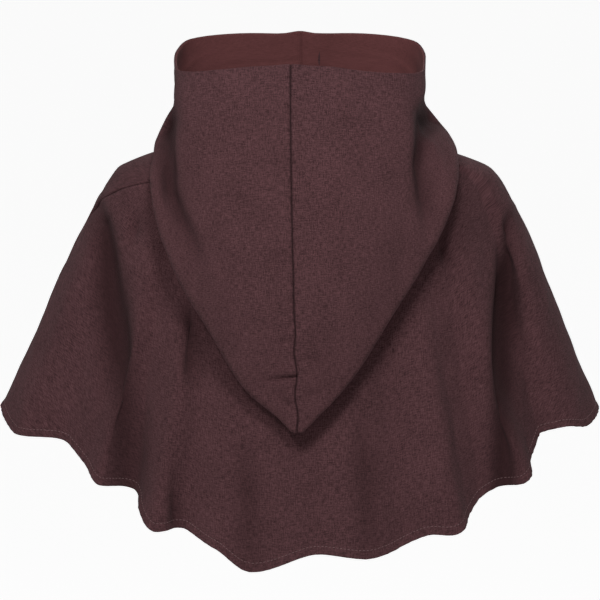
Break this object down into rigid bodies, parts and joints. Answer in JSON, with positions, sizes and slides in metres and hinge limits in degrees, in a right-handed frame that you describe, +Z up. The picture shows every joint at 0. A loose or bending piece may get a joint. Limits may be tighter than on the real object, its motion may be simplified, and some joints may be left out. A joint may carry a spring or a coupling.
{
  "type": "pull-over hood with a shoulder cape",
  "caption": "Hood with a shoulder cape, worn down: an upright collar round the neck, a pointed bag hanging over the back and a draped cape with a wavy hem.",
  "frame": {"origin": "middle of the neck, where the neckline sits on the shoulders", "axes": "+Z up, the wearer faces +Y, the bag hangs over the back towards -Y, +X to the wearer's right"},
  "size_m": [0.6593, 0.426, 0.5533],
  "materials": {
    "cloth": "matt woven cloth, dark brown with a wine tint",
    "lining": "smooth matt lining, a little redder"
  },
  "bodies": {
    "root": {"cape_back": "cloth", "cape_front": "cloth", "hood_left": "cloth", "hood_right": "cloth", "lining_left": "lining", "lining_right": "lining"}
  },
  "joints": []
}
